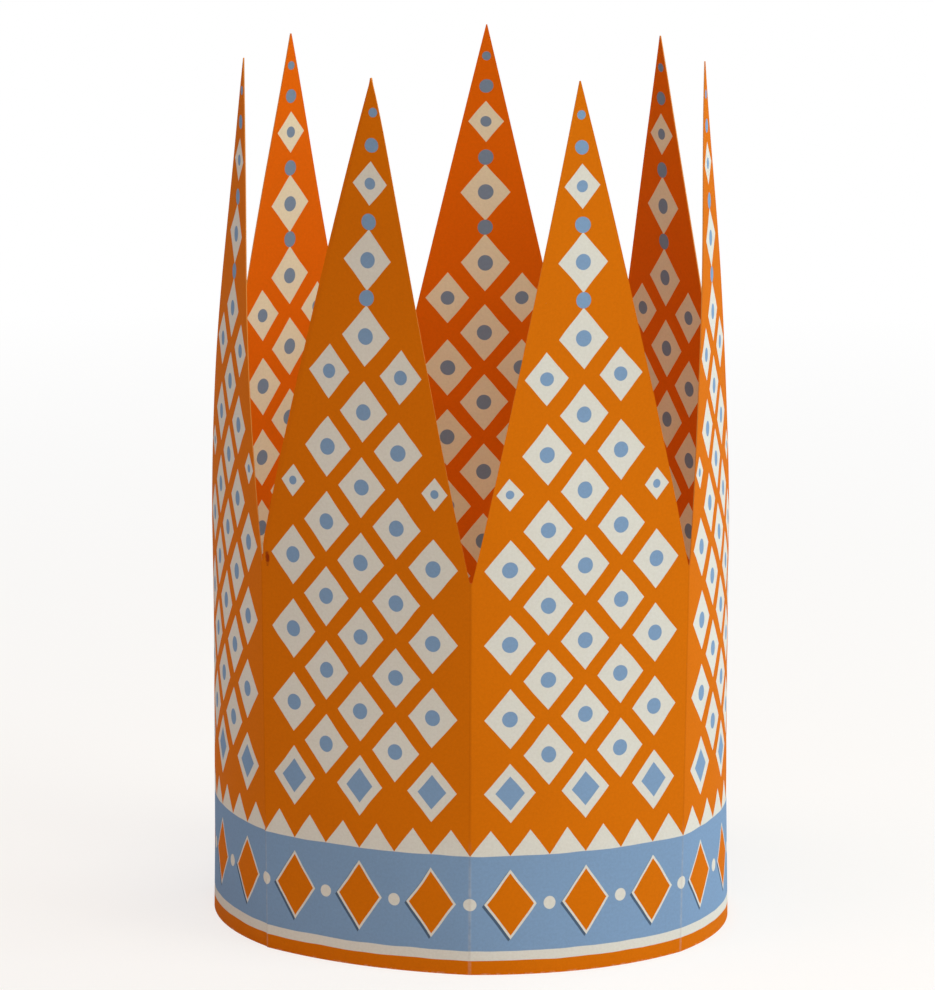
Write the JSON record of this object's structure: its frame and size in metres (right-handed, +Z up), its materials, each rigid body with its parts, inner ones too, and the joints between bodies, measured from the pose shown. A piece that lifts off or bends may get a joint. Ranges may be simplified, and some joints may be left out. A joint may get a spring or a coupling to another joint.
{
  "type": "paper crown",
  "caption": "Tall folded-card crown: a ring of creased, gently bowed panels cut to points along its top edge and closed by a glued lap, worn on the head.",
  "frame": {"origin": "middle of the ring on the plane of the foot, where the head comes in", "axes": "+Z up from the foot to the tips, -Y towards the front crease, +X to the viewer's right"},
  "size_m": [0.1836, 0.1818, 0.3075],
  "materials": {
    "printed_card": "matte"
  },
  "bodies": {
    "root": {"crown": "printed_card"}
  },
  "joints": []
}
